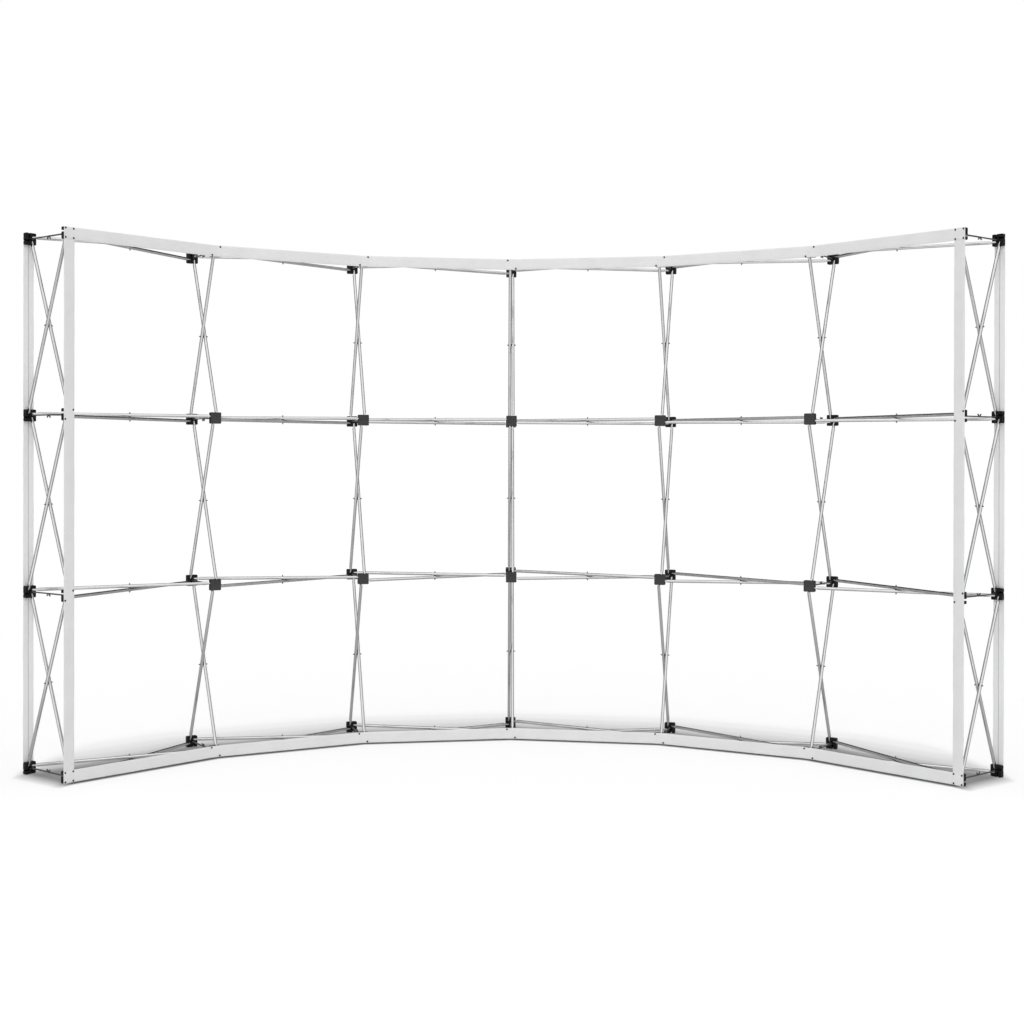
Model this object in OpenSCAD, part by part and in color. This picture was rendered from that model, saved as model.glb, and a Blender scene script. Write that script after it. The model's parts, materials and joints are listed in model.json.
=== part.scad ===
// Pop-up display backwall: a curved scissor frame with hook bands round its edge.
// It stands on z = 0, its hollow side faces -Y, and the wall runs along X.
// Columns count from the left and rows from the floor. Lengths are millimetres.

/* [Wall] */
// Bays along the curve
bays_across = 6; // [2:2:6]
// Bays up the height
bays_up = 3; // [1:1:3]
// Height from one row of hubs to the next
row_pitch = 735; // [600:5:800]
// Depth from the front tube pins to the rear ones
frame_depth = 255; // [220:5:300]
// Turn of the wall from one column of hubs to the next, in degrees
bay_turn = 17.7; // [6:0.1:18]

/* [Hubs] */
// Width and height of a hub
hub_size = 50; // [48:1:56]
// Radius of the hub's corners
hub_corner = 5; // [2:0.5:7]
// Height of the hub's outer face over its tube pins
face_height = 11; // [11:0.5:14]
// Depth of the hub's lugs behind its tube pins
lug_depth = 6; // [5.5:0.5:9]
// Thickness of the plate behind the outer face
plate_thickness = 2.5; // [2:0.25:2.75]
// Depth of the notch in the plate's rim at each slot
rim_notch = 2.5; // [0.5:0.5:3]
// Distance from the hub's middle to each tube pin
pin_inset = 14; // [14:0.5:15]
// Distance from the hub's middle to the inner end of each slot
slot_end = 5; // [4.5:0.5:5]
// Radius of a tube pin
pin_radius = 2; // [1.5:0.25:2]
// Distance from the hub's middle to the screws, each way
screw_inset = 19; // [18.5:0.5:20]
// Radius of a screw's shank
screw_radius = 1.5; // [1:0.25:1.75]

/* [Tubes] */
// Outer radius of a tube
tube_radius = 7; // [6.5:0.25:7]
// Wall of a tube
tube_wall = 1.2; // [0.8:0.1:1.5]
// Sideways distance from the hub's middle to a tube's axis
tube_offset = 7.5; // [7.5:0.25:8]
// Thickness of a tube's pressed end
tongue_thickness = 6.6; // [5:0.2:6.6]
// Length of the pressed end past its pin
tongue_run = 13; // [13:1:20]
// Length over which the pressed end grows to the full tube
taper_run = 10; // [8:1:30]
// Radius of a rivet's shank
rivet_radius = 2.5; // [2:0.25:3]
// Radius of a rivet's head
rivet_head = 4.2; // [3.5:0.1:5]
// Length of the stud that stands out past a rivet's head
rivet_stud = 6.5; // [1:0.5:7]

/* [Locks] */
// Distance from a hub's tube pins to the pin of its lock
lock_pin_depth = 15; // [14:0.5:18]
// Radius of a lock pin
lock_pin_radius = 2; // [1.5:0.25:2]
// Width of the lock's arms along the wall
lock_width = 6; // [5:0.5:6]
// Distance from the rear lock pin to the face where the hooks meet
lock_reach = 107; // [90:1:120]
// Half the height of the rear arm's bar
rear_bar_half = 2.5; // [2.5:0.25:3.5]
// Half the height of the front arm's bar
front_bar_half = 2.75; // [2.5:0.25:3.5]
// Thickness of the tongue that carries a hook's tooth
lip_thickness = 1.5; // [1.25:0.25:1.5]
// Length of a hook's tongue before its tooth
lip_run = 8; // [8:1:14]
// Length of a hook's tooth
tooth_run = 5; // [4:0.5:6]
// Reach of a tooth past the middle of the lock
tooth_bite = 0.5; // [0.3:0.1:0.9]
// Gap between the two hooks
hook_clearance = 0.3; // [0.2:0.1:0.5]
// Height of the finger tabs that hang from the hooks
tab_drop = 8; // [5:0.5:9]

/* [Bands] */
// Width of the hook bands
band_width = 50; // [40:1:50]
// Thickness of the hook bands
band_thickness = 2; // [1:0.25:2.5]
// Width of the groove down the middle of the rear bands
groove_width = 2; // [1:0.5:4]
// Side of the square hook pads on the inner front hubs
pad_size = 48; // [40:1:48]
// Thickness of a hook pad
pad_thickness = 1.5; // [1:0.25:2]

/* [Hidden] */
$fn = 40;
half_turn = bay_turn / 2;
slot_width = tongue_thickness + 1.2;
pin_bite = 2;              // how far a tube pin enters the hub past the slot and the middle
pin_recess = 1;            // the pin's end lies this far inside the hub's edge
cheek_half = 3.6;          // half the height of a lock clevis, and the radius of its end
tab_root = 2.2;            // length of a finger tab's root along its arm
tab_lean = 0.7;            // how far a finger tab leans back for each millimetre that it drops
tab_tip = 1.3;             // width of a finger tab's tip
tab_ahead = 4;             // the rear arm's tab starts this far past its hook's face
cheek_thickness = 2.7;
eye_gap = 0.3;             // side gap between an arm's eye and each cheek
eye_clearance = 0.05;      // radial gap between a moving eye and its pin
band_seat = 0.02;          // gap under a band
screw_depth = 9;
screw_head = 4;            // radius of a screw's head where it lies on its band
screw_head_top = 3;
screw_head_height = 1.8;
rivet_head_height = 1.5;
spacer_radius = 5;

// All tubes have one length. The horizontal pairs cross off their middle, which curves the wall.
pins_apart = row_pitch - 2 * pin_inset;
tube_length = sqrt(frame_depth * frame_depth + pins_apart * pins_apart);
curve_gain = frame_depth * sin(half_turn);
front_pins_apart = sqrt(curve_gain * curve_gain + pins_apart * pins_apart) - curve_gain;
rear_pins_apart = front_pins_apart + 2 * curve_gain;
rear_share = rear_pins_apart / (front_pins_apart + rear_pins_apart);
front_radius = (front_pins_apart + 2 * pin_inset * cos(half_turn)) / (2 * sin(half_turn));
rear_radius = front_radius + frame_depth;
lock_span = frame_depth - 2 * lock_pin_depth;
last_column = bays_across;
last_row = bays_up;
edge_radius = front_radius - face_height - 2 * (band_thickness + band_seat);
front_edge = edge_radius * cos(turn(0)) + hub_size / 2 * sin(turn(0));
middle_depth = (front_edge + rear_radius + face_height) / 2; // puts the footprint's middle at y = 0

// Angle of a column, height of a row, and a point in plan on a column's radius
function turn(column) = (column - bays_across / 2) * bay_turn;
function row_height(row) = hub_size / 2 + row * row_pitch;
function plan(radius, column, along = 0) =
    radius * [sin(turn(column)), cos(turn(column))]
    + along * [cos(turn(column)), -sin(turn(column))] - [0, middle_depth];

// Locks of the lowest row, and of the middle rows right of the middle, are turned over, so that
// their tabs point up and their rear arms swing up. The others swing down.
function is_turned_over(column, row) = row == 0 || (row < last_row && column > bays_across / 2);

// Screws: four on a corner hub, two on a diagonal elsewhere
function is_corner(column, row) =
    (column == 0 || column == last_column) && (row == 0 || row == last_row);
function leans_left(column, row) = row == 0 || (row == last_row && column == bays_across / 2);
function screw_places(all_four, left = false) =
    all_four ? [[1, 1], [-1, -1], [1, -1], [-1, 1]]
    : left ? [[1, -1], [-1, 1]] : [[1, 1], [-1, -1]];

function lock_name(column, row) = str("lock_arm_column_", column + 1, "_row_", row + 1);
function row_nodes(stem, last) = [for (row = [0:last]) str(stem, row + 1)];

// Frames to draw in. On a hub, Z points out of its outer face and Y is up.
module at_front_hub(column, row) {
    translate([each plan(front_radius, column), row_height(row)])
        rotate([90, 0, -turn(column)]) children();
}

module at_rear_hub(column, row) {
    translate([each plan(rear_radius, column), row_height(row)])
        rotate([90, 0, 180 - turn(column)]) children();
}

// In a column's upright plane, X runs from the front pins to the rear ones and Y is up.
module in_column(column, row) {
    translate([each plan(front_radius, column), row_height(row)])
        rotate([90, 0, 90 - turn(column)]) children();
}

module in_lock(column, row) {
    in_column(column, row) rotate([is_turned_over(column, row) ? 180 : 0, 0, 0]) children();
}

module rounded_block(size, corner, height) {
    linear_extrude(height) union() {
        square([size - 2 * corner, size], center = true);
        square([size, size - 2 * corner], center = true);
        for (x = [-1, 1], y = [-1, 1])
            translate([x, y] * (size / 2 - corner)) circle(corner);
    }
}

// One hub. Its four slots lie in a pinwheel, so that crossing tubes pass side by side.
module hub() {
    difference() {
        union() {
            translate([0, 0, -lug_depth])
                rounded_block(hub_size, hub_corner, lug_depth + face_height);
            for (side = [0, 1]) mirror([side, 0, 0]) clevis_cheek();
        }
        for (quarter = [0:3]) rotate(-90 * quarter) arm_cuts();
    }
}

// The slot, rim notch, pin hole and screw hole of the hub's left arm
module arm_cuts() {
    past = 1;
    slot_side = tube_offset - slot_width / 2;
    translate([-hub_size / 2 - past, slot_side, -lug_depth - past])
        cube([hub_size / 2 + past - slot_end, slot_width,
              lug_depth + past + face_height - plate_thickness]);
    translate([-hub_size / 2 - past, slot_side, 0])
        cube([rim_notch + past, slot_width, face_height + past]);
    translate([-pin_inset, -pin_bite, 0]) rotate([-90, 0, 0])
        cylinder(r = pin_radius, h = hub_size / 2 + pin_bite + past);
    translate([-screw_inset, screw_inset, -lug_depth - past])
        cylinder(r = screw_radius, h = lug_depth + face_height + 2 * past);
}

module clevis_cheek() {
    translate([lock_width / 2 + eye_gap, 0, 0]) rotate([90, 0, 90])
        linear_extrude(cheek_thickness) difference() {
            union() {
                translate([-cheek_half, -lock_pin_depth])
                    square([2 * cheek_half, lock_pin_depth - lug_depth + 1]);
                translate([0, -lock_pin_depth]) circle(cheek_half);
            }
            translate([0, -lock_pin_depth]) circle(lock_pin_radius);
        }
}

module front_hubs(row) {
    color("#1b1b1c") for (column = [0:last_column]) at_front_hub(column, row) hub();
}

module rear_hubs(row) {
    color("#1b1b1c") for (column = [0:last_column]) at_rear_hub(column, row) hub();
}

// A tube from pin to pin along X. Its ends are pressed flat across the pins.
module scissor_tube(rivet_at) {
    edge = [[-tube_radius - 1, tongue_thickness / 2], [tongue_run, tongue_thickness / 2],
            [tongue_run + taper_run, tube_radius + 1]];
    far = [for (i = [2:-1:0]) [tube_length - edge[i][0], edge[i][1]]];
    half = concat(edge, far);
    side_view = concat(half, [for (i = [5:-1:0]) [half[i][0], -half[i][1]]]);
    solid_run = tongue_run + taper_run;
    difference() {
        intersection() {
            translate([-tube_radius - 1, 0, 0]) rotate([0, 90, 0])
                cylinder(r = tube_radius, h = tube_length + 2 * tube_radius + 2);
            rotate([90, 0, 0]) linear_extrude(3 * tube_radius, center = true) polygon(side_view);
            tube_ends_outline();
        }
        translate([solid_run, 0, 0]) rotate([0, 90, 0])
            cylinder(r = tube_radius - tube_wall, h = tube_length - 2 * solid_run);
        for (x = [0, tube_length]) translate([x, 0, 0])
            cylinder(r = pin_radius, h = 3 * tube_radius, center = true);
        translate([rivet_at, 0, 0])
            cylinder(r = rivet_radius, h = 3 * tube_radius, center = true);
    }
}

// Seen along the pins, each end is an arc wider than the tube, set to end one radius past the pin.
module tube_ends_outline() {
    arc = tube_radius + 2;
    linear_extrude(3 * tube_radius, center = true) union() {
        translate([2, -arc]) square([tube_length - 4, 2 * arc]);
        for (x = [2, tube_length - 2]) translate([x, 0]) circle(arc);
    }
}

module tube_between(start, end, height, rivet_at) {
    run = end - start;
    translate([each start, height]) rotate(atan2(run[1], run[0])) scissor_tube(rivet_at);
}

// Horizontal tubes from a rear hub to the next front hub, over the other family
module upper_tubes(row) {
    color("#c3c5c8") for (bay = [0:bays_across - 1])
        tube_between(plan(rear_radius, bay, pin_inset), plan(front_radius, bay + 1, -pin_inset),
                     row_height(row) + tube_offset, tube_length * rear_share);
}

module lower_tubes(row) {
    color("#c3c5c8") for (bay = [0:bays_across - 1])
        tube_between(plan(front_radius, bay, pin_inset), plan(rear_radius, bay + 1, -pin_inset),
                     row_height(row) - tube_offset, tube_length * (1 - rear_share));
}

// Crossing pair in each column: the right one climbs to the rear, the left one to the front.
module upright_tubes(row) {
    lean = atan2(pins_apart, frame_depth);
    color("#c3c5c8") for (column = [0:last_column]) in_column(column, row) {
        translate([0, pin_inset, tube_offset]) rotate(lean) scissor_tube(tube_length / 2);
        translate([frame_depth, pin_inset, -tube_offset]) rotate(180 - lean)
            scissor_tube(tube_length / 2);
    }
}

// Pins of the arms that carry a tube. Arms count clockwise from the left, seen from outside.
module hub_pins(arms) {
    for (quarter = arms) rotate(-90 * quarter)
        translate([-pin_inset, -pin_bite, 0]) rotate([-90, 0, 0])
            cylinder(r = pin_radius, h = hub_size / 2 + pin_bite - pin_recess);
}

module tube_pins() {
    color("#8d9094") for (column = [0:last_column], row = [0:last_row]) {
        upright = concat(row < last_row ? [1] : [], row > 0 ? [3] : []);
        left = column > 0;
        right = column < last_column;
        at_front_hub(column, row) hub_pins(concat(left ? [0] : [], right ? [2] : [], upright));
        at_rear_hub(column, row) hub_pins(concat(right ? [0] : [], left ? [2] : [], upright));
    }
}

// Frames along each rivet, whose middle lies between the two tubes
module at_each_rivet() {
    for (bay = [0:bays_across - 1], row = [0:last_row])
        let (start = plan(rear_radius, bay, pin_inset),
             run = plan(front_radius, bay + 1, -pin_inset) - start)
            translate([each (start + rear_share * run), row_height(row)]) children();
    for (column = [0:last_column], row = [0:last_row - 1]) in_column(column, row)
        translate([frame_depth / 2, row_pitch / 2, 0]) children();
}

module rivets() {
    reach = tube_offset + tube_radius;
    tip = rivet_radius / 2;
    color("#5b5d60") at_each_rivet() {
        cylinder(r = rivet_radius, h = 2 * (reach + rivet_stud - tip), center = true);
        for (side = [0, 1]) mirror([0, 0, side]) translate([0, 0, reach]) {
            cylinder(r1 = rivet_head, r2 = rivet_radius + 0.5, h = rivet_head_height);
            translate([0, 0, rivet_stud - tip]) cylinder(r1 = rivet_radius, r2 = tip, h = tip);
        }
    }
}

module rivet_spacers() {
    thickness = 2 * (tube_offset - tube_radius);
    color("#2a2a2b") at_each_rivet() difference() {
        cylinder(r = spacer_radius, h = thickness, center = true);
        cylinder(r = rivet_radius, h = 3 * thickness, center = true);
    }
}

module lock_pins() {
    length = lock_width + 2 * (eye_gap + cheek_thickness);
    color("#8d9094") for (column = [0:last_column], row = [0:last_row])
        in_column(column, row)
            for (x = [lock_pin_depth, frame_depth - lock_pin_depth]) translate([x, 0, 0])
                cylinder(r = lock_pin_radius, h = length, center = true);
}

// A hooked arm in side view. Its eye is at the origin, its hook's face is at X = reach, and
// its tooth points up from a tongue along the lower side.
module hooked_arm(reach, bar_half, eye_bore) {
    outer = -rear_bar_half;
    inner = outer + lip_thickness;
    lip_start = reach - lip_run;
    tip = reach + tooth_run;
    difference() {
        union() {
            circle(cheek_half);
            translate([0, -bar_half]) square([lip_start - bar_half, 2 * bar_half]);
            polygon([[lip_start - bar_half - 1, -bar_half], [lip_start - bar_half, -bar_half],
                     [lip_start, outer], [tip, outer], [tip, inner],
                     [reach + tooth_run / 2, tooth_bite], [reach, tooth_bite], [reach, inner],
                     [lip_start, inner], [lip_start - bar_half, bar_half],
                     [lip_start - bar_half - 1, bar_half]]);
        }
        circle(eye_bore);
    }
}

// A finger tab that leans back towards the arm's own hub, from a root along the arm's side
module finger_tab(root, side) {
    sink = 0.5;
    tip = root - tab_root - tab_lean * tab_drop;
    polygon([[root, side + sink], [root - tab_root, side + sink],
             [tip, side - tab_drop], [tip + tab_tip, side - tab_drop - tab_tip / 2]]);
}

// The front arm is fixed to its hub and its tooth points down.
module catch_arms() {
    reach = lock_span - lock_reach + hook_clearance;
    color("#2b2c2e") for (column = [0:last_column], row = [0:last_row])
        in_lock(column, row) translate([lock_pin_depth, 0, 0])
            linear_extrude(lock_width, center = true) union() {
                mirror([0, 1]) hooked_arm(reach, front_bar_half, lock_pin_radius);
                finger_tab(reach - lip_run - front_bar_half, -front_bar_half);
            }
}

// The rear arm turns on its hub's lock pin and swings towards its tab to let the hubs part.
module lock_arm(column, row) {
    color("#2b2c2e") in_lock(column, row) translate([frame_depth - lock_pin_depth, 0, 0])
        linear_extrude(lock_width, center = true) mirror([1, 0]) union() {
            hooked_arm(lock_reach, rear_bar_half, lock_pin_radius + eye_clearance);
            finger_tab(lock_reach + tab_ahead, -rear_bar_half);
        }
}

module hub_pads() {
    color("#3c3d3f") for (column = [1:last_column - 1], row = [1:last_row - 1])
        at_front_hub(column, row) translate([0, 0, face_height])
            rounded_block(pad_size, hub_corner - 1, pad_thickness);
}

// One side of a horizontal band in plan, flat on each hub's face and straight in between.
// On a corner hub it lies over the upright band.
function band_lift(column) =
    band_seat + (column == 0 || column == last_column ? band_thickness + band_seat : 0);
function band_side(out) = [
    for (column = [0:last_column], side = [-1, 1])
        plan(front_radius - face_height - band_lift(column) - out, column, side * hub_size / 2)];

module curved_band(row) {
    near = band_side(0);
    far = band_side(band_thickness);
    color("#dcddde") difference() {
        translate([0, 0, row_height(row) - band_width / 2]) linear_extrude(band_width)
            polygon(concat(near, [for (i = [len(far) - 1:-1:0]) far[i]]));
        for (column = [0:last_column]) at_front_hub(column, row)
            band_holes(screw_places(is_corner(column, row), leans_left(column, row)));
    }
}

module band_holes(places) {
    for (place = places) translate([each place * screw_inset, face_height - 1])
        cylinder(r = screw_radius, h = 3 * band_thickness + 1);
}

// An upright band, drawn on its lowest hub
module upright_band() {
    translate([-band_width / 2, -hub_size / 2, face_height + band_seat])
        cube([band_width, bays_up * row_pitch + hub_size, band_thickness]);
}

module front_upright_band(column) {
    color("#dcddde") difference() {
        at_front_hub(column, 0) upright_band();
        for (row = [0:last_row]) at_front_hub(column, row)
            band_holes(screw_places(is_corner(column, row)));
    }
}

module rear_upright_band(column) {
    color("#dcddde") difference() {
        at_rear_hub(column, 0) difference() {
            upright_band();
            translate([-groove_width / 2, -hub_size, face_height - 1])
                cube([groove_width, (bays_up + 1) * row_pitch, 1 + band_seat + band_thickness / 3]);
        }
        for (row = [0:last_row]) at_rear_hub(column, row) band_holes(screw_places(false));
    }
}

// Screws whose heads lie on a band of the given height over the hub's face
module screws(places, lift) {
    for (place = places) translate([each place * screw_inset, face_height]) {
        translate([0, 0, lift - screw_depth]) cylinder(r = screw_radius, h = screw_depth);
        translate([0, 0, lift])
            cylinder(r1 = screw_head, r2 = screw_head_top, h = screw_head_height);
    }
}

module band_screws() {
    color("#303133") {
        for (column = [0:last_column], row = [0, last_row]) at_front_hub(column, row)
            screws(screw_places(is_corner(column, row), leans_left(column, row)),
                   band_thickness + band_lift(column));
        for (column = [0, last_column]) {
            for (row = [1:last_row - 1]) at_front_hub(column, row)
                screws(screw_places(false), band_seat + band_thickness);
            for (row = [0:last_row]) at_rear_hub(column, row)
                screws(screw_places(false), band_seat + band_thickness);
        }
    }
}

for (row = [0:last_row]) {
    front_hubs(row);
    rear_hubs(row);
    upper_tubes(row);
    lower_tubes(row);
    for (column = [0:last_column])
        lock_arm(column, row);
}
for (row = [0:last_row - 1])
    upright_tubes(row);
tube_pins();
rivets();
rivet_spacers();
lock_pins();
catch_arms();
hub_pads();
curved_band(last_row);  // top_band
curved_band(0);  // bottom_band
front_upright_band(0);  // left_band
front_upright_band(last_column);  // right_band
rear_upright_band(0);  // rear_left_band
rear_upright_band(last_column);  // rear_right_band
band_screws();
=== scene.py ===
import json
import math

import bpy
import numpy as np
from mathutils import Matrix, Vector


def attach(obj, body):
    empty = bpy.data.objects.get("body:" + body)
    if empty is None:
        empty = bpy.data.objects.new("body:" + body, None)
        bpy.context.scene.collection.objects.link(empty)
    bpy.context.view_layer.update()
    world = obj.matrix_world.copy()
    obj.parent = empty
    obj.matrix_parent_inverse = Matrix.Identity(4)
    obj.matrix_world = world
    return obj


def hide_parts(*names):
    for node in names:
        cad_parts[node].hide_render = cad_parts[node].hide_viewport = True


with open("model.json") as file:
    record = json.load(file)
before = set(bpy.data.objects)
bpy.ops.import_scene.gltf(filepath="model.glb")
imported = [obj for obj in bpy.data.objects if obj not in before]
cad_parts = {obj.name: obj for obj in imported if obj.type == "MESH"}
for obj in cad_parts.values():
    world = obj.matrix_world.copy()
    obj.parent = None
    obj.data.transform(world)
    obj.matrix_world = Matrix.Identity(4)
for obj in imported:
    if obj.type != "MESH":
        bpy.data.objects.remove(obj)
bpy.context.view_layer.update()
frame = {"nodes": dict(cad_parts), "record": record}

nodes = frame["nodes"]
slotOf = {part["node"]: part["material_slot"] for part in frame["record"]["subparts"]}
print("frame loaded,", len(nodes), "nodes")

# ---- where things are on the wall, by the same rules as the frame, in metres
wall = {
    "columns": 7,
    "rows": 4,
    "rowPitch": 0.735,
    "frameDepth": 0.255,
    "bayTurn": math.radians(17.7),
    "hubSize": 0.050,
    "faceHeight": 0.011,     # outer face over the tube pins
    "pinInset": 0.014,
    "screwInset": 0.019,
}
tape = {
    "width": 0.050,
    "thickness": 0.002,
    "seat": 0.00002,         # gap under a tape
    "hubStep": 0.0025,       # length of a mesh step where the tape lies on a hub
    "openStep": 0.012,       # and where it spans a bay
    "hubMargin": 0.006,      # how far past a hub the short steps go on
    "freeRun": 0.09,         # distance from a hub at which the tape hangs free
    "ripple": 0.0005,        # how far the tape waves in and out between hubs
    "waves": [(17, 1.0), (41, 0.6)],     # radians for each metre, and share of the ripple
    "twists": [(23, 1.0), (57, 0.5)],    # the same for the waves that lift one edge
    "phaseRange": 6.28,
    "screwDimple": 0.0006,   # how far a screw pulls it in
    "dimpleReach": 0.0065,
}

pinsApart = wall["rowPitch"] - 2 * wall["pinInset"]
curveGain = wall["frameDepth"] * math.sin(wall["bayTurn"] / 2)
frontPinsApart = math.hypot(curveGain, pinsApart) - curveGain
frontRadius = (frontPinsApart + 2 * wall["pinInset"] * math.cos(wall["bayTurn"] / 2)) / (
    2 * math.sin(wall["bayTurn"] / 2))
rearRadius = frontRadius + wall["frameDepth"]
lastColumn, lastRow = wall["columns"] - 1, wall["rows"] - 1


def turnOf(column):
    return (column - lastColumn / 2) * wall["bayTurn"]


edgeRadius = frontRadius - wall["faceHeight"] - 2 * (tape["thickness"] + tape["seat"])
frontEdge = edgeRadius * math.cos(turnOf(0)) + wall["hubSize"] / 2 * math.sin(turnOf(0))
middleDepth = (frontEdge + rearRadius + wall["faceHeight"]) / 2


def planPoint(radius, column, along=0.0, height=0.0):
    t = turnOf(column)
    return Vector((radius * math.sin(t) + along * math.cos(t),
                   radius * math.cos(t) - along * math.sin(t) - middleDepth, height))


def rowHeight(row):
    return wall["hubSize"] / 2 + row * wall["rowPitch"]


def hubMatrix(column, row, rear=False):
    # local Z points out of the hub's outer face, local Y is up
    t = turnOf(column)
    side = 1 if rear else -1
    out = Vector((side * math.sin(t), side * math.cos(t), 0))
    up = Vector((0, 0, 1))
    across = up.cross(out)
    place = planPoint(rearRadius if rear else frontRadius, column, 0, rowHeight(row))
    return Matrix.Translation(place) @ Matrix((across, up, out)).transposed().to_4x4()


def isCorner(column, row):
    return column in (0, lastColumn) and row in (0, lastRow)


def screwPlaces(column, row, rear=False):
    leansLeft = row == 0 or (row == lastRow and column == lastColumn / 2)
    if isCorner(column, row) and not rear:
        return [(1, 1), (-1, -1), (1, -1), (-1, 1)]
    if leansLeft and not rear:
        return [(1, -1), (-1, 1)]
    return [(1, 1), (-1, -1)]


# ---- small helpers for meshes and node trees
def meshPiece(name, verts, faces, material, body, stands, uvs, sharp=35):
    mesh = bpy.data.meshes.new(name)
    mesh.from_pydata([tuple(v) for v in verts], [], faces)
    layer = mesh.uv_layers.new(name="cut")
    flat = np.array([uvs[loop.vertex_index] for loop in mesh.loops], dtype=np.float32)
    layer.data.foreach_set("uv", flat.ravel())
    mesh.validate()
    mesh.update()
    mesh.shade_smooth()
    mesh.set_sharp_from_angle(angle=math.radians(sharp))
    mesh.materials.append(material)
    piece = bpy.data.objects.new(name, mesh)
    bpy.context.scene.collection.objects.link(piece)
    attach(piece, body)
    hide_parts(*stands)


def addNode(tree, kind, inputs=None, **settings):
    node = tree.nodes.new(kind)
    for name, value in settings.items():
        setattr(node, name, value)
    for name, value in (inputs or {}).items():
        if isinstance(value, bpy.types.NodeSocket):
            tree.links.new(value, node.inputs[name])
        else:
            node.inputs[name].default_value = value
    return node


def calc(tree, operation, first, second=0.0):
    return addNode(tree, "ShaderNodeMath", {0: first, 1: second}, operation=operation).outputs[0]


def newMaterial(name, **fixed):
    material = bpy.data.materials.new(name)
    material.use_nodes = True
    tree = material.node_tree
    shader = tree.nodes["Principled BSDF"]
    for socket, value in fixed.items():
        shader.inputs[socket].default_value = value
    return material, tree, shader


def noise(tree, vector, scale, detail=3.0, rough=0.55):
    node = addNode(tree, "ShaderNodeTexNoise",
                   {"Vector": vector, "Scale": scale, "Detail": detail, "Roughness": rough})
    return node.outputs["Fac"]


def between(tree, fac, low, high, fromLow=0.3, fromHigh=0.7):
    node = addNode(tree, "ShaderNodeMapRange", {"Value": fac, "From Min": fromLow, "From Max": fromHigh,
                                                "To Min": low, "To Max": high})
    return node.outputs["Result"]


def blendColours(tree, fac, first, second):
    node = addNode(tree, "ShaderNodeMix", data_type="RGBA")
    tree.links.new(fac, node.inputs[0])
    for socket, value in ((node.inputs[6], first), (node.inputs[7], second)):
        if isinstance(value, bpy.types.NodeSocket):
            tree.links.new(value, socket)
        else:
            socket.default_value = (*value, 1)
    return node.outputs[2]


def bumpFrom(tree, height, distance, strength=1.0, normal=None):
    node = addNode(tree, "ShaderNodeBump", {"Height": height, "Distance": distance, "Strength": strength})
    if normal is not None:
        tree.links.new(normal, node.inputs["Normal"])
    return node.outputs["Normal"]


def objectPlace(tree):
    return addNode(tree, "ShaderNodeTexCoord").outputs["Object"]


def softEdge(tree, radius, samples=6):
    return addNode(tree, "ShaderNodeBevel", {"Radius": radius}, samples=samples).outputs["Normal"]


def edgeMask(tree, rounded, sharpness=4.0):
    # 0 on a flat, towards 1 at a worn edge
    flat = addNode(tree, "ShaderNodeNewGeometry").outputs["Normal"]
    same = addNode(tree, "ShaderNodeVectorMath", {0: rounded, 1: flat}, operation="DOT_PRODUCT")
    return calc(tree, "MULTIPLY", calc(tree, "SUBTRACT", 1.0, same.outputs["Value"]), sharpness)


# ---- satin aluminium tubes, with drawing lines that run along each tube
tubeLook = {
    "colour": (0.51, 0.51, 0.515),
    "greyer": (0.45, 0.45, 0.455),
    "edgeTint": (0.12, 0.12, 0.125),    # how much a metal edge seen at a slant gives back
    "roughness": (0.17, 0.27),
    "lines": 2600,                      # drawing lines over a metre of the tube's girth
    "lineRun": 3,                       # and how often they change over a metre of its length
    "lineDepth": 0.0000025,
    "lineBump": 0.5,
    "clouds": 9.0, "smears": 55.0,      # scales of the soft patches and of the smears
    "lineShare": 0.45, "smearShare": 0.55,    # what each adds to the roughness
    "edge": 0.0006,
}


def aboutAxis(tree):
    # a point's place from the wall's axis, and how many bays round from the middle column it is
    place = addNode(tree, "ShaderNodeVectorMath", {0: objectPlace(tree), 1: (0, middleDepth, 0)},
                    operation="ADD").outputs["Vector"]
    split = addNode(tree, "ShaderNodeSeparateXYZ", {0: place})
    turned = calc(tree, "ARCTAN2", split.outputs["X"], split.outputs["Y"])
    return place, turned, calc(tree, "DIVIDE", turned, wall["bayTurn"])


def tubeCoordinates(tree, family):
    # turns a point about the wall's axis to the middle bay or column, then along its tube
    place, _, steps = aboutAxis(tree)
    if family == "upright":
        turned = calc(tree, "MULTIPLY", calc(tree, "ROUND", steps), wall["bayTurn"])
    else:
        rear = planPoint(rearRadius, 2, wall["pinInset"])
        front = planPoint(frontRadius, 3, -wall["pinInset"])
        run = Matrix.Rotation(-wall["bayTurn"] / 2, 3, "Z") @ (front - rear)
        slant = math.atan2(run.y, run.x) * (1 if family == "upper" else -1)
        middle = calc(tree, "ADD", calc(tree, "FLOOR", steps), 0.5)
        turned = calc(tree, "SUBTRACT", calc(tree, "MULTIPLY", middle, wall["bayTurn"]), slant)
    local = addNode(tree, "ShaderNodeVectorRotate", {"Vector": place, "Angle": turned},
                    rotation_type="Z_AXIS").outputs["Vector"]
    if family != "upright":
        return local, (1, 0, 0)
    lean = math.pi / 2 - math.atan2(pinsApart, wall["frameDepth"])
    side = calc(tree, "SIGN", addNode(tree, "ShaderNodeSeparateXYZ", {0: local}).outputs["X"])
    angle = calc(tree, "MULTIPLY", side, lean)
    local = addNode(tree, "ShaderNodeVectorRotate", {"Vector": local, "Angle": angle},
                    rotation_type="X_AXIS").outputs["Vector"]
    return local, (0, 0, 1)


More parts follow.
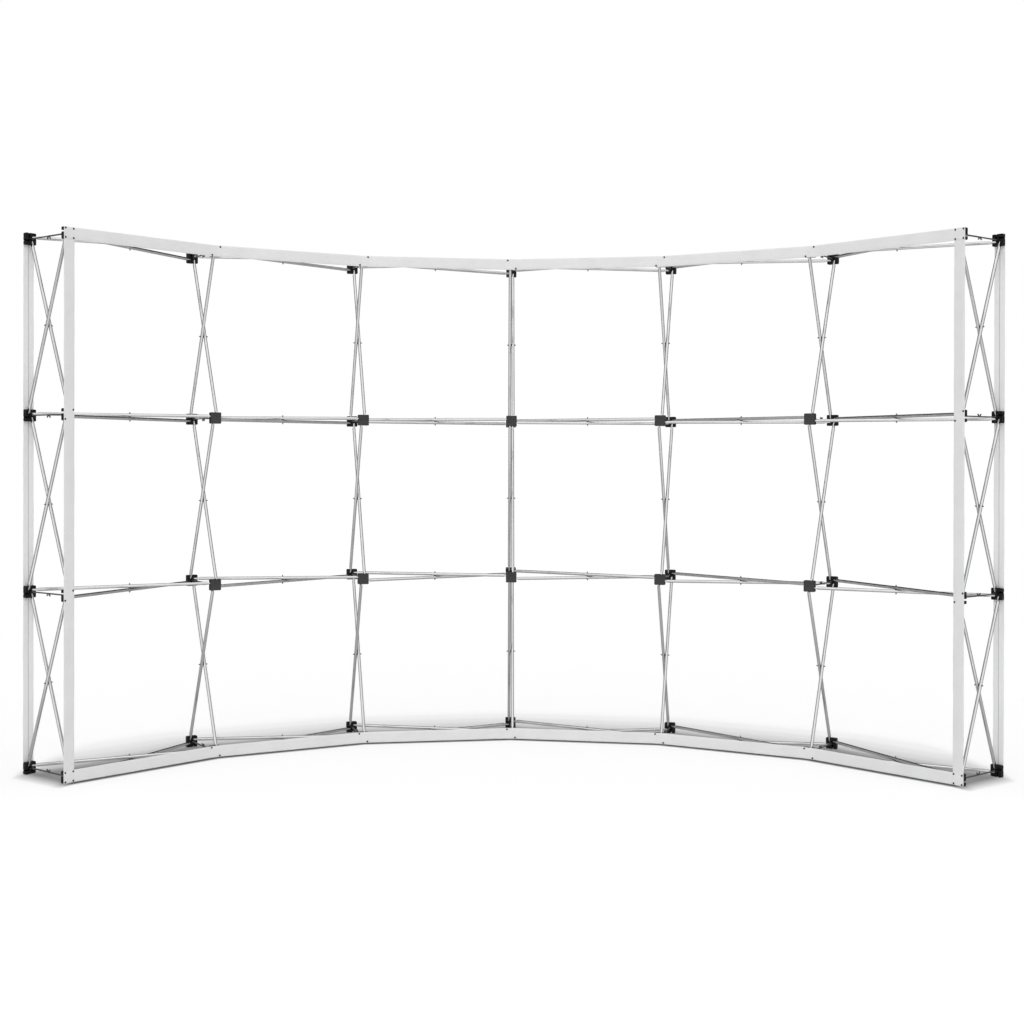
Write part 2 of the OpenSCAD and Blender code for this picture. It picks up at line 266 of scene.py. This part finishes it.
def tubeMaterial(family):
    material, tree, shader = newMaterial("satinTube." + family, **{
        "Metallic": 1.0, "Specular Tint": (*tubeLook["edgeTint"], 1)})
    local, along = tubeCoordinates(tree, family)
    across = [tubeLook["lines"] if part == 0 else tubeLook["lineRun"] for part in along]
    stretched = addNode(tree, "ShaderNodeVectorMath", {0: local, 1: across},
                        operation="MULTIPLY").outputs["Vector"]
    lines = noise(tree, stretched, 1.0, 2.0)
    clouds = noise(tree, local, tubeLook["clouds"], 4.0)
    smears = noise(tree, local, tubeLook["smears"], 3.0)
    tree.links.new(blendColours(tree, between(tree, clouds, 0, 1), tubeLook["colour"], tubeLook["greyer"]),
                   shader.inputs["Base Color"])
    low, high = tubeLook["roughness"]
    mixed = calc(tree, "ADD", calc(tree, "MULTIPLY", lines, tubeLook["lineShare"]),
                 calc(tree, "MULTIPLY", smears, tubeLook["smearShare"]))
    tree.links.new(between(tree, mixed, low, high), shader.inputs["Roughness"])
    rounded = softEdge(tree, tubeLook["edge"])
    tree.links.new(bumpFrom(tree, lines, tubeLook["lineDepth"], tubeLook["lineBump"], rounded),
                   shader.inputs["Normal"])
    return material


# ---- moulded hubs and lock arms
mouldings = {
    "hub_plastic": {"name": "blackNylon", "colour": (0.005, 0.005, 0.0053), "worn": (0.03, 0.03, 0.031),
                    "roughness": (0.44, 0.58), "shine": 0.16, "grain": 2300, "grainDepth": 0.00006,
                    "edge": 0.0007},
    "lock_plastic": {"name": "greyNylon", "colour": (0.06, 0.06, 0.063), "worn": (0.14, 0.14, 0.143),
                     "roughness": (0.36, 0.50), "shine": 0.3, "grain": 2800, "grainDepth": 0.00004,
                     "edge": 0.0004},
    "spacer_plastic": {"name": "washerNylon", "colour": (0.02, 0.02, 0.021), "worn": (0.05, 0.05, 0.05),
                       "roughness": (0.35, 0.5), "shine": 0.4, "grain": 3000, "grainDepth": 0.00003,
                       "edge": 0.0002},
}
mouldingWear = {"patches": 38.0, "least": 0.1, "bump": 0.6}


def mouldedMaterial(look):
    material, tree, shader = newMaterial(look["name"], **{"Specular IOR Level": look["shine"]})
    place = objectPlace(tree)
    rounded = softEdge(tree, look["edge"])
    patches = noise(tree, place, mouldingWear["patches"], 4.0)
    grain = noise(tree, place, look["grain"], 2.0)
    wear = calc(tree, "MULTIPLY", edgeMask(tree, rounded), between(tree, patches, mouldingWear["least"], 1.0))
    tree.links.new(blendColours(tree, wear, look["colour"], look["worn"]), shader.inputs["Base Color"])
    tree.links.new(between(tree, patches, *look["roughness"]), shader.inputs["Roughness"])
    tree.links.new(bumpFrom(tree, grain, look["grainDepth"], mouldingWear["bump"], rounded),
                   shader.inputs["Normal"])
    return material


# ---- pins, rivets and screws
steels = {
    "pin_steel": {"name": "brightPin", "colour": (0.42, 0.425, 0.43), "dirt": (0.25, 0.25, 0.255),
                  "roughness": (0.28, 0.42), "metal": 0.95, "shine": 0.5},
    "rivet_steel": {"name": "dullRivet", "colour": (0.22, 0.225, 0.23), "dirt": (0.12, 0.12, 0.122),
                    "roughness": (0.34, 0.5), "metal": 0.9, "shine": 0.5},
    "screw_black": {"name": "blackScrew", "colour": (0.012, 0.012, 0.013), "dirt": (0.006, 0.006, 0.0065),
                    "roughness": (0.34, 0.5), "metal": 0.3, "shine": 0.2},
}
steelWear = {"spots": 260.0, "scratches": 1500.0, "scratchDepth": 0.00003, "bump": 0.4, "edge": 0.0003}


def steelMaterial(look):
    material, tree, shader = newMaterial(look["name"], **{
        "Metallic": look["metal"], "Specular IOR Level": look["shine"]})
    place = objectPlace(tree)
    rounded = softEdge(tree, steelWear["edge"])
    spots = noise(tree, place, steelWear["spots"], 4.0)
    scratches = noise(tree, place, steelWear["scratches"], 2.0)
    tree.links.new(blendColours(tree, between(tree, spots, 0, 1, 0.4, 0.65), look["colour"], look["dirt"]),
                   shader.inputs["Base Color"])
    tree.links.new(between(tree, spots, *look["roughness"]), shader.inputs["Roughness"])
    tree.links.new(bumpFrom(tree, scratches, steelWear["scratchDepth"], steelWear["bump"], rounded),
                   shader.inputs["Normal"])
    return material


# ---- hook tape: a woven ground with rows of small stiff hooks, and a plain selvedge
tapeLooks = {
    "band_tape": {"name": "paleHookTape", "ground": (0.78, 0.78, 0.785), "hook": (0.87, 0.87, 0.875),
                  "soiled": (0.71, 0.71, 0.71), "pitch": 0.0015, "pile": 0.0004, "field": 0.0222},
    # rear tapes: the same hook tape in lighter colours, painted light that makes up for the hubs' shade on
    # them
    "rear": {"name": "rearTapePaintedLight", "ground": (0.91, 0.91, 0.915), "hook": (0.94, 0.94, 0.945),
             "soiled": (0.87, 0.87, 0.87), "pitch": 0.0015, "pile": 0.0003, "field": 0.0222,
             # groove: colour of the painted shade line down the groove
             "groove": (0.38, 0.38, 0.385), "grooveHalf": 0.001},
    "pad_tape": {"name": "darkHookTape", "ground": (0.018, 0.018, 0.019), "hook": (0.045, 0.045, 0.047),
                 "soiled": (0.07, 0.07, 0.07), "pitch": 0.0015, "pile": 0.0005, "field": 0.0225},
}
weave = {"scatter": 0.25, "thread": 0.0007, "threadShare": 0.12, "clouds": 7.0, "bump": 0.7}


def hookTapeMaterial(look):
    material, tree, shader = newMaterial(look["name"], **{
        "Sheen Weight": 0.12, "Sheen Roughness": 0.6, "Specular IOR Level": 0.3})
    cut = addNode(tree, "ShaderNodeUVMap", uv_map="cut").outputs["UV"]
    hooks = addNode(tree, "ShaderNodeTexVoronoi", {
        "Vector": cut, "Scale": 1 / look["pitch"], "Randomness": weave["scatter"]},
        voronoi_dimensions="2D").outputs["Distance"]
    sideways = addNode(tree, "ShaderNodeSeparateXYZ", {0: cut}).outputs["Y"]
    fromMiddle = calc(tree, "ABSOLUTE", sideways)
    threads = calc(tree, "SINE", calc(tree, "MULTIPLY", sideways, 2 * math.pi / weave["thread"]))
    nibs = calc(tree, "MULTIPLY", between(tree, hooks, 1.0, 0.0, 0.12, 0.5),
                calc(tree, "LESS_THAN", fromMiddle, look["field"]))
    pile = calc(tree, "ADD", nibs, calc(tree, "MULTIPLY", threads, weave["threadShare"]))
    clouds = noise(tree, cut, weave["clouds"], 4.0)
    clean = blendColours(tree, nibs, look["ground"], look["hook"])
    colour = blendColours(tree, between(tree, clouds, 0, 0.45, 0.42, 0.75), clean, look["soiled"])
    if "groove" in look:
        # painted shade in the groove, on the side that faces the wall's axis
        outward = addNode(tree, "ShaderNodeVectorMath", {
            0: aboutAxis(tree)[0], 1: addNode(tree, "ShaderNodeNewGeometry").outputs["True Normal"]},
            operation="DOT_PRODUCT").outputs["Value"]
        paintedGrooveShade = calc(tree, "MULTIPLY", calc(tree, "LESS_THAN", outward, 0.0),
                     calc(tree, "LESS_THAN", fromMiddle, look["grooveHalf"]))
        colour = blendColours(tree, paintedGrooveShade, colour, look["groove"])
    tree.links.new(colour, shader.inputs["Base Color"])
    tree.links.new(between(tree, clouds, 0.62, 0.8), shader.inputs["Roughness"])
    tree.links.new(bumpFrom(tree, pile, look["pile"], weave["bump"]), shader.inputs["Normal"])
    return material


finishes = {slot: mouldedMaterial(look) for slot, look in mouldings.items()}
finishes.update({slot: steelMaterial(look) for slot, look in steels.items()})
finishes.update({slot: hookTapeMaterial(look) for slot, look in tapeLooks.items()})
tubeFinishes = {family: tubeMaterial(family) for family in ("upper", "lower", "upright")}
for name, thing in nodes.items():
    finish = tubeFinishes[name.split("_")[0]] if slotOf[name] == "tube_aluminium" else finishes[slotOf[name]]
    if not thing.material_slots:
        thing.data.materials.append(finish)
    for holder in thing.material_slots:
        holder.material = finish
print("materials on", len(nodes), "nodes")


# ---- the hook tapes round the edge
# one half of a tape's section: distance out of the hub's face and distance from the middle, in millimetres
tapeSection = [(0.0, 0.0), (0.0, 12.0), (0.05, 24.5), (0.45, 25.0), (1.05, 24.95), (1.3, 24.5), (1.35, 22.9),
               (1.8, 22.5), (2.0, 21.9), (2.0, 15.0), (2.0, 8.0), (2.0, 0.0)]


def stepsAlong(corners, hubSpans):
    # distances along a tape, closer together on the hubs
    stops = [0.0]
    total = corners[-1]
    while stops[-1] < total - 1e-6:
        here = stops[-1]
        onHub = any(low - tape["hubMargin"] <= here <= high + tape["hubMargin"] for low, high in hubSpans)
        stops.append(min(total, here + (tape["hubStep"] if onHub else tape["openStep"])))
    return np.array(sorted(set(np.round(stops, 6)) | set(np.round(corners, 6))))


# the rear tapes have a narrow groove down the middle of their hub side
groove = [(0.7, 0.0), (0.7, 0.9), (0.0, 1.0)]


def hookTape(name, near, far, across, hubSpans, screws, stands, seed, grooved=False):
    near, far = np.array(near), np.array(far)
    corners = np.concatenate([[0], np.cumsum(np.linalg.norm(np.diff(near, axis=0), axis=1))])
    along = stepsAlong(corners, hubSpans)
    nearLine = np.stack([np.interp(along, corners, near[:, i]) for i in range(3)], 1)
    farLine = np.stack([np.interp(along, corners, far[:, i]) for i in range(3)], 1)
    out = farLine - nearLine
    out /= np.linalg.norm(out, axis=1)[:, None]
    half = [(o / 1000, h / 1000) for o, h in (groove + tapeSection[1:] if grooved else tapeSection)]
    section = half + [(o, -h) for o, h in half[-2:0:-1]]
    # 1 where the tape hangs free between hubs, 0 on a hub, with a soft change
    free = np.ones_like(along)
    for low, high in hubSpans:
        free = np.minimum(free, np.clip(np.maximum(low - along, along - high) / tape["freeRun"], 0, 1))
    free = free * free * (3 - 2 * free)
    phase = np.random.default_rng(seed).uniform(0, tape["phaseRange"], 4)

    def waves(terms, starts):
        return sum(share * np.sin(along * rate + start) for (rate, share), start in zip(terms, starts))

    wave = waves(tape["waves"], phase[:2]) * tape["ripple"]
    twist = waves(tape["twists"], phase[2:]) * tape["ripple"]
    across = np.array(across)
    verts, uvs = [], []
    for o, h in section:
        shift = free * (wave + twist * (h / (tape["width"] / 2)))
        if o > tape["thickness"] / 2:    # only the outer side dips
            for place, side in screws:
                gap = (along - place) ** 2 + (h - side) ** 2
                shift = shift - tape["screwDimple"] * np.exp(-gap / tape["dimpleReach"] ** 2)
        verts.append(nearLine + out * (o + shift)[:, None] + across * h)
        uvs.append(np.stack([along, np.full_like(along, h)], 1))
    count, rings = len(section), len(along)
    verts = np.stack(verts, 1).reshape(-1, 3)
    uvs = np.stack(uvs, 1).reshape(-1, 2)
    faces = [(r * count + k, r * count + (k + 1) % count,
              (r + 1) * count + (k + 1) % count, (r + 1) * count + k)
             for r in range(rings - 1) for k in range(count)]
    faces += [tuple(range(count))[::-1], tuple((rings - 1) * count + k for k in range(count))]
    finish = finishes["rear" if grooved else "band_tape"]
    meshPiece(name, verts, faces, finish, "frame", stands, uvs)


def tapeLift(column):
    return tape["seat"] + (tape["thickness"] + tape["seat"] if column in (0, lastColumn) else 0)


def railTape(name, row, stands, seed):
    half = wall["hubSize"] / 2
    sides = [[planPoint(frontRadius - wall["faceHeight"] - tapeLift(c) - out, c, side * half, rowHeight(row))
              for c in range(wall["columns"]) for side in (-1, 1)] for out in (0, tape["thickness"])]
    gaps = [(after - before).length for before, after in zip(sides[0], sides[0][1:])]
    reach = np.concatenate([[0], np.cumsum(gaps)])
    spans = [(reach[2 * c], reach[2 * c + 1]) for c in range(wall["columns"])]
    screws = [(sum(spans[c]) / 2 + x * wall["screwInset"], y * wall["screwInset"])
              for c in range(wall["columns"]) for x, y in screwPlaces(c, row)]
    hookTape(name, sides[0], sides[1], (0, 0, 1), spans, screws, stands, seed)


def postTape(name, column, rear, stands, seed):
    low, high = hubMatrix(column, 0, rear), hubMatrix(column, lastRow, rear)
    half = wall["hubSize"] / 2
    seat = wall["faceHeight"] + tape["seat"]
    sides = [[low @ Vector((0, -half, out)), high @ Vector((0, half, out))]
             for out in (seat, seat + tape["thickness"])]
    spans = [(rowHeight(r) - half, rowHeight(r) + half) for r in range(wall["rows"])]
    screws = [(rowHeight(r) + y * wall["screwInset"], x * wall["screwInset"])
              for r in range(wall["rows"]) for x, y in screwPlaces(column, r, rear)]
    across = low.to_3x3() @ Vector((1, 0, 0))
    hookTape(name, sides[0], sides[1], across, spans, screws, stands, seed, rear)


railTape("topTape", lastRow, ["top_band"], 1)
railTape("bottomTape", 0, ["bottom_band"], 2)
postTape("leftTape", 0, False, ["left_band"], 3)
postTape("rightTape", lastColumn, False, ["right_band"], 4)
postTape("rearLeftTape", 0, True, ["rear_left_band"], 5)
postTape("rearRightTape", lastColumn, True, ["rear_right_band"], 6)
print("edge tapes made")


# ---- square hook pads on the inner hubs
pad = {"size": 0.048, "corner": 0.004, "thickness": 0.0015, "cells": 18,
       "rimFrom": 0.93, "rimWidth": 0.07, "rimDrop": 0.22}    # shares of half the size, and of the thickness


def padMesh():
    half, corner, n = pad["size"] / 2, pad["corner"], pad["cells"]
    ticks = np.sin(np.linspace(-1, 1, n + 1) * math.pi / 2)       # closer together at the rim
    verts, uvs = [], []
    for level in (0, 1):
        for v in ticks:
            for u in ticks:
                x, y = u * half, v * half
                inner = half - corner
                dx, dy = max(abs(x) - inner, 0), max(abs(y) - inner, 0)
                if dx and dy:                                     # pull the corner's points onto its arc
                    squeeze = max(dx, dy) / math.hypot(dx, dy)
                    x = math.copysign(inner + dx * squeeze, x)
                    y = math.copysign(inner + dy * squeeze, y)
                fall = max(0, (max(abs(u), abs(v)) - pad["rimFrom"]) / pad["rimWidth"])
                top = pad["thickness"] * (1 - pad["rimDrop"] * fall ** 2)
                verts.append((x, y, top if level else 0.0))
                uvs.append((x, y))
    row = n + 1
    faces = []
    for level in (0, 1):
        for j in range(n):
            for i in range(n):
                first = level * row * row + j * row + i
                quad = (first, first + 1, first + row + 1, first + row)
                faces.append(quad if level else quad[::-1])
    rim = list(range(n)) + [j * row + n for j in range(n)]
    rim += [n * row + n - i for i in range(n)] + [(n - j) * row for j in range(n)]
    for a, b in zip(rim, rim[1:] + rim[:1]):
        faces.append((a, b, row * row + b, row * row + a))
    return verts, faces, uvs


def repeated(shape, matrices):
    verts, faces, uvs = shape
    allVerts, allFaces, allUvs = [], [], []
    for matrix in matrices:
        start = len(allVerts)
        allVerts += [matrix @ Vector(v) for v in verts]
        allFaces += [tuple(start + i for i in face) for face in faces]
        allUvs += uvs
    return allVerts, allFaces, allUvs


padPlaces = [hubMatrix(c, r) @ Matrix.Translation((0, 0, wall["faceHeight"]))
             for c in range(1, lastColumn) for r in range(1, lastRow)]
verts, faces, uvs = repeated(padMesh(), padPlaces)
meshPiece("hubPads", verts, faces, finishes["pad_tape"], "frame", ["hub_pads"], uvs)
print("pads made:", len(padPlaces))


# ---- pan head screws with a cross recess
screw = {"headRadius": 0.0040, "headHeight": 0.0018, "shankRadius": 0.00145, "shankLength": 0.009,
         "crossReach": 0.0021, "crossHalf": 0.0005, "crossDepth": 0.0011, "crossRise": 0.35,
         "dome": 0.16, "rimFrom": 0.72, "rimWidth": 0.28, "rimDrop": 0.5,    # shares of the head
         "tipRadius": 0.0002, "tipLength": 0.0012, "spokes": 48, "rings": 11}


def screwMesh():
    spokes, rings = screw["spokes"], screw["rings"]
    verts = [(0, 0, screw["headHeight"] - screw["crossDepth"])]
    for ring in range(1, rings + 1):
        reach = ring / rings
        for spoke in range(spokes):
            angle = 2 * math.pi * spoke / spokes
            x, y = (screw["headRadius"] * reach * f(angle) for f in (math.cos, math.sin))
            fall = max(0, (reach - screw["rimFrom"]) / screw["rimWidth"])
            z = screw["headHeight"] * (1 - screw["dome"] * reach ** 2 - screw["rimDrop"] * fall ** 2)
            inCross = min(abs(x), abs(y)) < screw["crossHalf"] and max(abs(x), abs(y)) < screw["crossReach"]
            cut = screw["crossDepth"] * (1 - screw["crossRise"] * reach) if inCross else 0
            verts.append((x, y, z - cut))
    faces = [(0, 1 + s, 1 + (s + 1) % spokes) for s in range(spokes)]
    for ring in range(rings - 1):
        a, b = 1 + ring * spokes, 1 + (ring + 1) * spokes
        faces += [(a + s, b + s, b + (s + 1) % spokes, a + (s + 1) % spokes) for s in range(spokes)]
    rim = 1 + (rings - 1) * spokes
    for radius, z in ((screw["headRadius"], 0.0), (screw["shankRadius"], 0.0),
                      (screw["shankRadius"], screw["tipLength"] - screw["shankLength"]),
                      (screw["tipRadius"], -screw["shankLength"])):
        start = len(verts)
        angles = [2 * math.pi * s / spokes for s in range(spokes)]
        verts += [(radius * math.cos(angle), radius * math.sin(angle), z) for angle in angles]
        faces += [(rim + s, start + s, start + (s + 1) % spokes, rim + (s + 1) % spokes)
                  for s in range(spokes)]
        rim = start
    return verts, faces, [(v[0], v[1]) for v in verts]


def screwMatrices():
    rng = np.random.default_rng(11)
    made = []
    for column in range(wall["columns"]):
        for row in range(wall["rows"]):
            for rear in (False, True):
                edge = column in (0, lastColumn)
                if not edge and (rear or row not in (0, lastRow)):
                    continue
                onRail = not rear and row in (0, lastRow)
                under = tapeLift(column) if onRail else tape["seat"]
                lift = tape["thickness"] + under - tape["screwDimple"] * 0.5
                for x, y in screwPlaces(column, row, rear):
                    place = Vector((x * wall["screwInset"], y * wall["screwInset"],
                                    wall["faceHeight"] + lift))
                    made.append(hubMatrix(column, row, rear) @ Matrix.Translation(place)
                                @ Matrix.Rotation(rng.uniform(0, math.pi / 2), 4, "Z"))
    return made


screwSeats = screwMatrices()
verts, faces, uvs = repeated(screwMesh(), screwSeats)
meshPiece("tapeScrews", verts, faces, finishes["screw_black"], "frame", ["band_screws"],
          uvs, sharp=40)
print("screws made:", len(screwSeats))


# ---- studio: pale floor, white surround, soft lamps
studio = {
    "floorRadius": 30.0, "floorSides": 96,
    "floorSink": 0.0005,        # how far the floor lies under the hubs
    "floorColour": (0.80, 0.80, 0.80),
    "floorClouds": 14.0, "floorGrain": 420.0, "grainDepth": 0.0002, "grainBump": 0.3,
    "floorLift": 0.24,          # light added to the floor where a camera or a shiny surface sees it
    "whiteFrom": (3.2, 5.5),    # the floor fades to plain white between these distances
    # soft shade on the floor: radius about the wall's axis, kept straight along each bay, and the light left
    "shade": [(2.10, 1.0), (2.205, 0.95), (2.222, 0.45), (2.230, 0.10), (2.252, 0.10), (2.29, 0.30),
              (2.47, 0.28), (2.51, 0.38), (2.56, 0.57), (2.62, 0.70), (2.72, 0.80), (2.83, 0.90),
              (3.00, 1.0)],
    "shadeEnds": (0.925, 0.97), # how far round it reaches, in radians
    "endsPull": (2.52, 0.5),    # beyond this radius it ends sooner, by so much for each metre
    "surround": 0.58,           # light from all round
    # each lamp is far off: where it shines from, its strength and how wide it looks, in degrees
    "lampDistance": 6,
    "lamps": {
        "left": {"from": (-0.85, -1.0, 0.40), "strength": 0.78, "width": 80},
        "right": {"from": (0.85, -1.0, 0.40), "strength": 0.68, "width": 80},
        "above": {"from": (0.0, -0.15, 1.0), "strength": 0.75, "width": 80},
    },
}


# cards that only shiny surfaces see, so that bright metal has an edge against white
cards = {
    "left": {"colour": 0.74, "corners": [(-5.5, -2.8, 0), (-5.5, 9, 0), (-5.5, 9, 6), (-5.5, -2.8, 6)]},
    "right": {"colour": 0.74, "corners": [(5.5, -2.8, 0), (5.5, 9, 0), (5.5, 9, 6), (5.5, -2.8, 6)]},
    "above": {"colour": 0.06, "corners": [(-5.5, 1.6, 5), (5.5, 1.6, 5), (5.5, 9, 5), (-5.5, 9, 5)]},
    "below": {"colour": 0.85,
              "corners": [(-4.5, -1.2, 0.004), (4.5, -1.2, 0.004), (4.5, 9, 0.004), (-4.5, 9, 0.004)]},
    # these two light the end columns' upright tubes that lean down and away
    "lowLeft": {"colour": 0.9, "glow": 0.95,
                "corners": [(-2.1, -4.6, 0.006), (-0.7, -4.6, 0.006), (-0.7, -0.9, 0.006),
                            (-2.1, -0.9, 0.006)]},
    "lowRight": {"colour": 0.9, "glow": 0.95,
                 "corners": [(0.7, -4.6, 0.006), (2.1, -4.6, 0.006), (2.1, -0.9, 0.006),
                             (0.7, -0.9, 0.006)]},
}
cardCloth = {"scale": 30.0, "darker": 0.9}


def makeCards():
    for name, look in cards.items():
        material, tree, shader = newMaterial("card." + name, **{
            "Specular IOR Level": 0.0, "Emission Strength": look.get("glow", 0.0)})
        cloth = noise(tree, objectPlace(tree), cardCloth["scale"])
        darker = (look["colour"] * cardCloth["darker"],) * 3
        tree.links.new(blendColours(tree, cloth, darker, (look["colour"],) * 3), shader.inputs["Base Color"])
        mesh = bpy.data.meshes.new("card." + name)
        mesh.from_pydata(look["corners"], [], [(0, 1, 2, 3)])
        mesh.materials.append(material)
        card = bpy.data.objects.new("card." + name, mesh)
        for ray in ("camera", "diffuse", "transmission", "volume_scatter", "shadow"):
            setattr(card, "visible_" + ray, False)
        bpy.context.scene.collection.objects.link(card)


def seenDirectly(tree):
    ray = addNode(tree, "ShaderNodeLightPath").outputs
    return calc(tree, "MAXIMUM", ray["Is Camera Ray"],
                calc(tree, "MAXIMUM", ray["Is Glossy Ray"], ray["Is Transmission Ray"]))


def floorShade(tree):
    # soft shade under the frame, along the straight line of each bay, fading past both ends
    place, turned, steps = aboutAxis(tree)
    middle = calc(tree, "MULTIPLY", calc(tree, "ADD", calc(tree, "FLOOR", steps), 0.5), wall["bayTurn"])
    local = addNode(tree, "ShaderNodeVectorRotate", {"Vector": place, "Angle": middle},
                    rotation_type="Z_AXIS").outputs["Vector"]
    depth = addNode(tree, "ShaderNodeSeparateXYZ", {0: local}).outputs["Y"]
    radius = calc(tree, "DIVIDE", depth, math.cos(wall["bayTurn"] / 2))
    first, last = studio["shade"][0][0], studio["shade"][-1][0]
    ramp = addNode(tree, "ShaderNodeValToRGB", {"Fac": between(tree, radius, 0, 1, first, last)}).color_ramp
    ramp.interpolation = "EASE"
    while len(ramp.elements) < len(studio["shade"]):
        ramp.elements.new(0.5)
    for element, (reach, light) in zip(ramp.elements, studio["shade"]):
        element.position = (reach - first) / (last - first)
        element.color = (light, light, light, 1)
    light = tree.nodes["Color Ramp"].outputs["Color"]
    start, pull = studio["endsPull"]
    beyond = calc(tree, "MAXIMUM", calc(tree, "SUBTRACT", radius, start), 0.0)
    reach = calc(tree, "ADD", calc(tree, "ABSOLUTE", turned), calc(tree, "MULTIPLY", beyond, pull))
    ends = between(tree, reach, 0, 1, *studio["shadeEnds"])
    return blendColours(tree, ends, light, (1, 1, 1))


def makeFloor():
    sides = studio["floorSides"]
    ring = [(studio["floorRadius"] * math.cos(2 * math.pi * i / sides),
             studio["floorRadius"] * math.sin(2 * math.pi * i / sides), 0) for i in range(sides)]
    mesh = bpy.data.meshes.new("floor")
    mesh.from_pydata(ring, [], [tuple(range(sides))])
    material, tree, shader = newMaterial("paleFloor", **{"Specular IOR Level": 0.1})
    place = objectPlace(tree)
    shade = floorShade(tree)
    seen = seenDirectly(tree)
    shaded = blendColours(tree, shade, (0, 0, 0), studio["floorColour"])
    tree.links.new(blendColours(tree, seen, studio["floorColour"], shaded), shader.inputs["Base Color"])
    tree.links.new(shade, shader.inputs["Emission Color"])
    clouds = noise(tree, place, studio["floorClouds"])
    grain = noise(tree, place, studio["floorGrain"])
    tree.links.new(between(tree, clouds, 0.75, 0.9), shader.inputs["Roughness"])
    tree.links.new(bumpFrom(tree, grain, studio["grainDepth"], studio["grainBump"]), shader.inputs["Normal"])
    tree.links.new(calc(tree, "MULTIPLY", seen, studio["floorLift"]), shader.inputs["Emission Strength"])
    distance = addNode(tree, "ShaderNodeVectorMath", {0: place}, operation="LENGTH").outputs["Value"]
    far = calc(tree, "MULTIPLY", seen, between(tree, distance, 0, 1, *studio["whiteFrom"]))
    white = addNode(tree, "ShaderNodeEmission", {"Color": (1, 1, 1, 1), "Strength": 1.0})
    mix = addNode(tree, "ShaderNodeMixShader", {0: far, 1: shader.outputs[0], 2: white.outputs[0]})
    tree.links.new(mix.outputs[0], tree.nodes["Material Output"].inputs["Surface"])
    mesh.materials.append(material)
    floor = bpy.data.objects.new("floor", mesh)
    floor.location.z = -studio["floorSink"]
    bpy.context.scene.collection.objects.link(floor)


def makeWorld():
    world = bpy.data.worlds.new("surround")
    bpy.context.scene.world = world
    world.use_nodes = True
    tree = world.node_tree
    soft = tree.nodes["Background"]
    soft.inputs["Color"].default_value = (1, 1, 1, 1)
    soft.inputs["Strength"].default_value = studio["surround"]
    white = addNode(tree, "ShaderNodeBackground", {"Color": (1, 1, 1, 1), "Strength": 1.0})
    mix = addNode(tree, "ShaderNodeMixShader",
                  {0: seenDirectly(tree), 1: soft.outputs[0], 2: white.outputs[0]})
    tree.links.new(mix.outputs[0], tree.nodes["World Output"].inputs["Surface"])


def makeLamps():
    for name, lamp in studio["lamps"].items():
        data = bpy.data.lights.new(name, "SUN")
        data.energy = lamp["strength"]
        data.angle = math.radians(lamp["width"])
        thing = bpy.data.objects.new(name, data)
        thing.location = Vector(lamp["from"]) * studio["lampDistance"]
        thing.rotation_euler = Vector(lamp["from"]).to_track_quat("Z", "Y").to_euler()
        bpy.context.scene.collection.objects.link(thing)


makeFloor()
makeWorld()
makeLamps()
makeCards()
bpy.context.scene.view_settings.view_transform = "Standard"
print("studio made")

# ---- camera, from a fit of the hubs' places in the photograph
cameraSet = {
    "place": (-0.0564, -6.1360, 1.3266),
    "yaw": -0.278, "pitch": -0.208, "roll": 0.109,      # degrees
    "lens": 48.28, "sensor": 36.0,
    "shift": (0.01875, -0.04912),
    "farClip": 100,
}


def makeCamera():
    yaw, pitch, roll = (math.radians(cameraSet[k]) for k in ("yaw", "pitch", "roll"))
    right = Vector((math.cos(yaw), -math.sin(yaw), 0))
    level = Vector((math.sin(yaw), math.cos(yaw), 0))
    ahead = level * math.cos(pitch) + Vector((0, 0, math.sin(pitch)))
    up = Vector((0, 0, math.cos(pitch))) - level * math.sin(pitch)
    rolledRight = right * math.cos(roll) + up * math.sin(roll)
    rolledUp = up * math.cos(roll) - right * math.sin(roll)
    data = bpy.data.cameras.new("photoCamera")
    data.lens, data.sensor_width = cameraSet["lens"], cameraSet["sensor"]
    data.shift_x, data.shift_y = cameraSet["shift"]
    data.clip_end = cameraSet["farClip"]
    camera = bpy.data.objects.new("photoCamera", data)
    turned = Matrix((rolledRight, rolledUp, -ahead)).transposed().to_4x4()
    camera.matrix_world = Matrix.Translation(cameraSet["place"]) @ turned
    bpy.context.scene.collection.objects.link(camera)
    bpy.context.scene.camera = camera


makeCamera()
print("camera placed")
